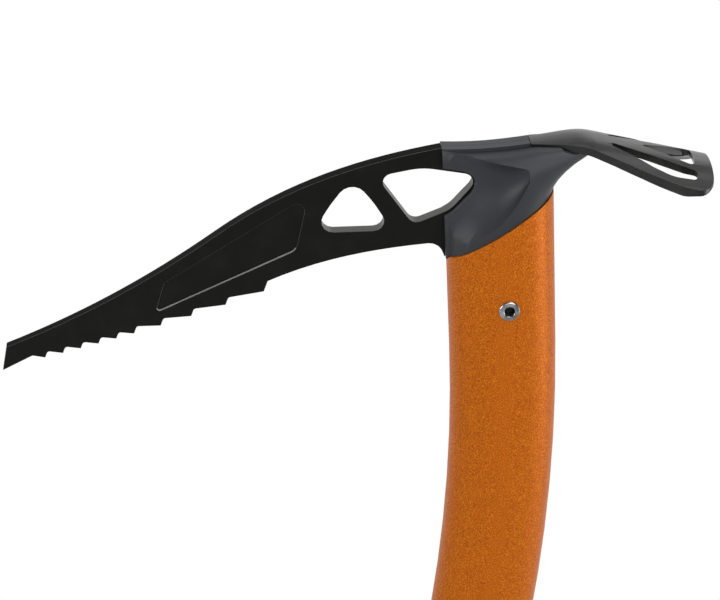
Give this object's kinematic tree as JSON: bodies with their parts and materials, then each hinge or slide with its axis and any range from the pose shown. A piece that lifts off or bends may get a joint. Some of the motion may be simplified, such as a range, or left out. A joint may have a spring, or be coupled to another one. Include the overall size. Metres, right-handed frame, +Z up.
{
  "type": "ice climbing tool",
  "caption": "Short technical ice axe: curved oval alloy shaft, toothed steel pick, arched slotted adze, moulded head and a sliding finger rest with a sprung lock lever.",
  "frame": {"origin": "centre of the leash hole near the foot, on the handle's axis", "axes": "+Z up the straight handle towards the head, -X towards the pick, +X towards the adze, Y across the shaft along the leash hole"},
  "size_m": [0.2031, 0.031, 0.4532],
  "materials": {
    "pick_steel": "black satin coated steel",
    "head_nylon": "dark grey moulded nylon",
    "adze_steel": "black satin coated steel",
    "bright_steel": "bright",
    "rivet_alloy": "bright",
    "dark_steel": "black oxide",
    "shaft_alloy": "orange anodised, bead blasted",
    "rest_nylon": "black moulded nylon",
    "liner_acetal": "natural acetal",
    "rubber": "black rubber",
    "lever_alloy": "orange anodised"
  },
  "bodies": {
    "tool": {"pick": "pick_steel", "head_shell_left": "head_nylon", "head_shell_right": "head_nylon", "adze": "adze_steel", "head_dowels": "bright_steel", "head_rivet": "rivet_alloy", "head_rivet_core": "dark_steel", "shaft": "shaft_alloy", "foot_plug": "rest_nylon", "leash_eyelet": "rivet_alloy", "foot_rivet": "rivet_alloy", "foot_rivet_core": "dark_steel"},
    "hand_rest": {"rest_body": "rest_nylon", "rest_liner": "liner_acetal", "hook_rubber_pad": "rubber", "lever_pin": "bright_steel", "pin_clips": "dark_steel", "lever_spring": "bright_steel"},
    "lever": {"lock_lever": "lever_alloy", "brake_pad": "rubber"}
  },
  "joints": [
    {"name": "rest_slide", "type": "slide", "parent": "tool", "child": "hand_rest", "axis": [0, 0, 1], "range_m": [0, 0.125]},
    {"name": "lever_press", "type": "hinge", "parent": "hand_rest", "child": "lever", "pos_m": [0.02615, 0, 0.057], "axis": [0, -1, 0], "range_deg": [0, 10], "stiffness_Nm_per_rad": 0.05, "springref_deg": -17.19, "deforming": ["lever_spring"]}
  ]
}
